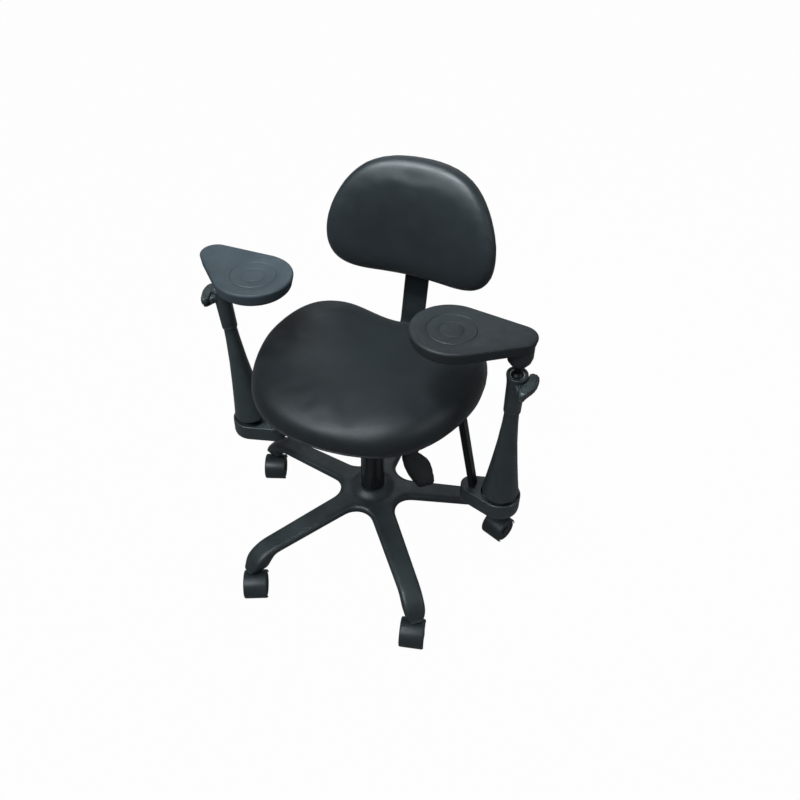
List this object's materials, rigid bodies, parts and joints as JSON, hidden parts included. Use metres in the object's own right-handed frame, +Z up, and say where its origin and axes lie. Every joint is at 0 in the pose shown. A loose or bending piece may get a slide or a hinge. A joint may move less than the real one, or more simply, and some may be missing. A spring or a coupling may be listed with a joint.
{
  "type": "surgeon chair",
  "caption": "Rolling surgeon chair with contoured seat, reclining backrest, gas column and two jointed forearm supports with ball-jointed, clamped pads.",
  "frame": {"origin": "on the floor, on the axis of the seat column", "axes": "+Z up, the sitter faces -Y, +X to the sitter's left"},
  "size_m": [0.6453, 0.6088, 0.7838],
  "materials": {
    "base_polymer": "satin",
    "column_gloss": "gloss",
    "bush_polymer": "satin",
    "steel": "satin",
    "powder_coat": "satin",
    "shell_plastic": "fine texture",
    "upholstery": "soft grain",
    "zinc_steel": "satin",
    "handle_plastic": "satin",
    "arm_polymer": "satin",
    "bearing_polymer": "satin",
    "pad_skin": "soft matt",
    "caster_hood": "satin",
    "wheel_polymer": "satin"
  },
  "bodies": {
    "base": {"star_base": "base_polymer", "column_tube": "column_gloss", "column_bush": "bush_polymer"},
    "spindle": {"piston_rod": "steel", "thrust_bearing": "steel", "retaining_clip": "steel"},
    "seat": {"gas_cylinder": "column_gloss", "seat_mechanism": "powder_coat", "seat_pan": "shell_plastic", "seat_cushion": "upholstery", "seat_screws": "zinc_steel", "arm_carrier": "powder_coat", "back_pin": "steel"},
    "lever": {"lever_rod": "powder_coat", "lever_paddle": "handle_plastic"},
    "back_arm": {"back_stem": "powder_coat"},
    "back_slider": {"back_sleeve": "shell_plastic", "tilt_pin": "steel"},
    "back_lock": {"back_knob": "handle_plastic"},
    "backrest": {"back_shell": "shell_plastic", "back_cushion": "upholstery"},
    "left_bar": {"left_arm_bar": "powder_coat", "left_link_housing": "arm_polymer", "left_link_cap": "handle_plastic"},
    "left_lock": {"left_lock_knob": "handle_plastic"},
    "left_cross": {"left_universal_cross": "steel"},
    "left_upright": {"left_post": "arm_polymer"},
    "left_collar": {"left_height_collar": "arm_polymer"},
    "left_clamp": {"left_clamp_lever": "handle_plastic"},
    "left_liner": {"left_ball_liner": "bearing_polymer"},
    "left_rod": {"left_ball_rod": "zinc_steel"},
    "left_pad": {"left_pad_base": "shell_plastic", "left_pad_cushion": "pad_skin"},
    "right_bar": {"right_arm_bar": "powder_coat", "right_link_housing": "arm_polymer", "right_link_cap": "handle_plastic"},
    "right_lock": {"right_lock_knob": "handle_plastic"},
    "right_cross": {"right_universal_cross": "steel"},
    "right_upright": {"right_post": "arm_polymer"},
    "right_collar": {"right_height_collar": "arm_polymer"},
    "right_clamp": {"right_clamp_lever": "handle_plastic"},
    "right_liner": {"right_ball_liner": "bearing_polymer"},
    "right_rod": {"right_ball_rod": "zinc_steel"},
    "right_pad": {"right_pad_base": "shell_plastic", "right_pad_cushion": "pad_skin"},
    "caster_1_fork": {"caster_1_hood": "caster_hood"},
    "caster_1_roll_a": {"caster_1_wheel_a": "wheel_polymer"},
    "caster_1_roll_b": {"caster_1_wheel_b": "wheel_polymer"},
    "caster_2_fork": {"caster_2_hood": "caster_hood"},
    "caster_2_roll_a": {"caster_2_wheel_a": "wheel_polymer"},
    "caster_2_roll_b": {"caster_2_wheel_b": "wheel_polymer"},
    "caster_3_fork": {"caster_3_hood": "caster_hood"},
    "caster_3_roll_a": {"caster_3_wheel_a": "wheel_polymer"},
    "caster_3_roll_b": {"caster_3_wheel_b": "wheel_polymer"},
    "caster_4_fork": {"caster_4_hood": "caster_hood"},
    "caster_4_roll_a": {"caster_4_wheel_a": "wheel_polymer"},
    "caster_4_roll_b": {"caster_4_wheel_b": "wheel_polymer"},
    "caster_5_fork": {"caster_5_hood": "caster_hood"},
    "caster_5_roll_a": {"caster_5_wheel_a": "wheel_polymer"},
    "caster_5_roll_b": {"caster_5_wheel_b": "wheel_polymer"}
  },
  "joints": [
    {"name": "seat_height", "type": "slide", "parent": "spindle", "child": "seat", "axis": [0, 0, 1], "range_m": [-0.05, 0.09]},
    {"name": "back_recline", "type": "hinge", "parent": "seat", "child": "back_arm", "pos_m": [0, 0.075, 0.404], "axis": [-1, 0, 0], "range_deg": [-5, 12]},
    {"name": "back_height", "type": "slide", "parent": "back_arm", "child": "back_slider", "axis": [0, 0.1908, 0.9816], "range_m": [-0.03, 0.04]},
    {"name": "back_tilt", "type": "hinge", "parent": "back_slider", "child": "backrest", "pos_m": [0, 0.23172, 0.65965], "axis": [-1, 0, 0], "range_deg": [-3, 12]},
    {"name": "seat_turn", "type": "hinge", "parent": "base", "child": "spindle", "pos_m": [0, 0, 0.1], "axis": [0, 0, 1], "continuous": true},
    {"name": "height_lever", "type": "hinge", "parent": "seat", "child": "lever", "pos_m": [0.058, -0.058, 0.4025], "axis": [-0.6428, -0.766, 0], "range_deg": [0, 8], "stiffness_Nm_per_rad": 2, "springref_deg": -5.73},
    {"name": "back_knob_turn", "type": "hinge", "parent": "back_slider", "child": "back_lock", "pos_m": [0, 0.24743, 0.6566], "axis": [0, 0.9816, -0.1908], "continuous": true},
    {"name": "left_arm_width", "type": "slide", "parent": "seat", "child": "left_bar", "axis": [1, 0, 0], "range_m": [0, 0.033]},
    {"name": "left_arm_fore_aft", "type": "hinge", "parent": "left_bar", "child": "left_cross", "pos_m": [0.277, -0.016, 0.246], "axis": [-1, 0, 0], "range_deg": [-9.5, 22.5]},
    {"name": "left_arm_sideways", "type": "hinge", "parent": "left_cross", "child": "left_upright", "pos_m": [0.277, -0.016, 0.246], "axis": [0, 0.989, 0.1478], "range_deg": [-8, 8]},
    {"name": "left_arm_height", "type": "slide", "parent": "left_upright", "child": "left_collar", "axis": [0.0332, -0.1477, 0.9885], "range_m": [-0.004, 0.026]},
    {"name": "left_pad_roll", "type": "hinge", "parent": "left_collar", "child": "left_liner", "pos_m": [0.28787, -0.06445, 0.57022], "axis": [0, 0.989, 0.1478], "range_deg": [-12, 12]},
    {"name": "left_pad_pitch", "type": "hinge", "parent": "left_liner", "child": "left_rod", "pos_m": [0.28787, -0.06445, 0.57022], "axis": [-1, 0, 0], "range_deg": [-12, 12]},
    {"name": "left_pad_turn", "type": "hinge", "parent": "left_rod", "child": "left_pad", "pos_m": [0.28787, -0.06445, 0.57022], "axis": [0, 0, 1], "continuous": true},
    {"name": "left_clamp_open", "type": "hinge", "parent": "left_collar", "child": "left_clamp", "pos_m": [0.30683, -0.09201, 0.55838], "axis": [-0.0332, 0.1477, -0.9885], "range_deg": [0, 110]},
    {"name": "left_lock_turn", "type": "hinge", "parent": "seat", "child": "left_lock", "pos_m": [0.112, -0.016, 0.4], "axis": [0, 0, 1], "continuous": true},
    {"name": "right_arm_width", "type": "slide", "parent": "seat", "child": "right_bar", "axis": [-1, 0, 0], "range_m": [0, 0.033]},
    {"name": "right_arm_fore_aft", "type": "hinge", "parent": "right_bar", "child": "right_cross", "pos_m": [-0.277, -0.016, 0.246], "axis": [-1, 0, 0], "range_deg": [-14, 18]},
    {"name": "right_arm_sideways", "type": "hinge", "parent": "right_cross", "child": "right_upright", "pos_m": [-0.277, -0.016, 0.246], "axis": [0, -0.9976, -0.0698], "range_deg": [-8, 8]},
    {"name": "right_arm_height", "type": "slide", "parent": "right_upright", "child": "right_collar", "axis": [-0.061, -0.0696, 0.9957], "range_m": [0, 0.03]},
    {"name": "right_pad_roll", "type": "hinge", "parent": "right_collar", "child": "right_liner", "pos_m": [-0.29678, -0.03856, 0.56861], "axis": [0, -0.9976, -0.0698], "range_deg": [-12, 12]},
    {"name": "right_pad_pitch", "type": "hinge", "parent": "right_liner", "child": "right_rod", "pos_m": [-0.29678, -0.03856, 0.56861], "axis": [-1, 0, 0], "range_deg": [-12, 12]},
    {"name": "right_pad_turn", "type": "hinge", "parent": "right_rod", "child": "right_pad", "pos_m": [-0.29678, -0.03856, 0.56861], "axis": [0, 0, 1], "continuous": true},
    {"name": "right_clamp_open", "type": "hinge", "parent": "right_collar", "child": "right_clamp", "pos_m": [-0.31552, -0.06692, 0.55845], "axis": [-0.061, -0.0696, 0.9957], "range_deg": [0, 110]},
    {"name": "right_lock_turn", "type": "hinge", "parent": "seat", "child": "right_lock", "pos_m": [-0.112, -0.016, 0.4], "axis": [0, 0, 1], "continuous": true},
    {"name": "caster_1_swivel", "type": "hinge", "parent": "base", "child": "caster_1_fork", "pos_m": [0.18641, -0.22215, 0.06], "axis": [0, 0, 1], "continuous": true},
    {"name": "caster_2_swivel", "type": "hinge", "parent": "base", "child": "caster_2_fork", "pos_m": [0.26888, 0.10864, 0.06], "axis": [0, 0, 1], "continuous": true},
    {"name": "caster_3_swivel", "type": "hinge", "parent": "base", "child": "caster_3_fork", "pos_m": [-0.02023, 0.28929, 0.06], "axis": [0, 0, 1], "continuous": true},
    {"name": "caster_4_swivel", "type": "hinge", "parent": "base", "child": "caster_4_fork", "pos_m": [-0.28139, 0.07016, 0.06], "axis": [0, 0, 1], "continuous": true},
    {"name": "caster_5_swivel", "type": "hinge", "parent": "base", "child": "caster_5_fork", "pos_m": [-0.15368, -0.24593, 0.06], "axis": [0, 0, 1], "continuous": true},
    {"name": "caster_1_spin_a", "type": "hinge", "parent": "caster_1_fork", "child": "caster_1_roll_a", "pos_m": [0.19107, -0.23954, 0.025], "axis": [0.9659, 0.2588, 0], "continuous": true},
    {"name": "caster_1_spin_b", "type": "hinge", "parent": "caster_1_fork", "child": "caster_1_roll_b", "pos_m": [0.19107, -0.23954, 0.025], "axis": [0.9659, 0.2588, 0], "continuous": true},
    {"name": "caster_2_spin_a", "type": "hinge", "parent": "caster_2_fork", "child": "caster_2_roll_a", "pos_m": [0.26214, 0.09195, 0.025], "axis": [0.9272, -0.3746, 0], "continuous": true},
    {"name": "caster_2_spin_b", "type": "hinge", "parent": "caster_2_fork", "child": "caster_2_roll_b", "pos_m": [0.26214, 0.09195, 0.025], "axis": [0.9272, -0.3746, 0], "continuous": true},
    {"name": "caster_3_spin_a", "type": "hinge", "parent": "caster_3_fork", "child": "caster_3_roll_a", "pos_m": [-0.02923, 0.2737, 0.025], "axis": [0.866, -0.5, 0], "continuous": true},
    {"name": "caster_3_spin_b", "type": "hinge", "parent": "caster_3_fork", "child": "caster_3_roll_b", "pos_m": [-0.02923, 0.2737, 0.025], "axis": [0.866, -0.5, 0], "continuous": true},
    {"name": "caster_4_spin_a", "type": "hinge", "parent": "caster_4_fork", "child": "caster_4_roll_a", "pos_m": [-0.27464, 0.05347, 0.025], "axis": [0.9272, 0.3746, 0], "continuous": true},
    {"name": "caster_4_spin_b", "type": "hinge", "parent": "caster_4_fork", "child": "caster_4_roll_b", "pos_m": [-0.27464, 0.05347, 0.025], "axis": [0.9272, 0.3746, 0], "continuous": true},
    {"name": "caster_5_spin_a", "type": "hinge", "parent": "caster_5_fork", "child": "caster_5_roll_a", "pos_m": [-0.14579, -0.26211, 0.025], "axis": [0.8988, 0.4384, 0], "continuous": true},
    {"name": "caster_5_spin_b", "type": "hinge", "parent": "caster_5_fork", "child": "caster_5_roll_b", "pos_m": [-0.14579, -0.26211, 0.025], "axis": [0.8988, 0.4384, 0], "continuous": true}
  ]
}
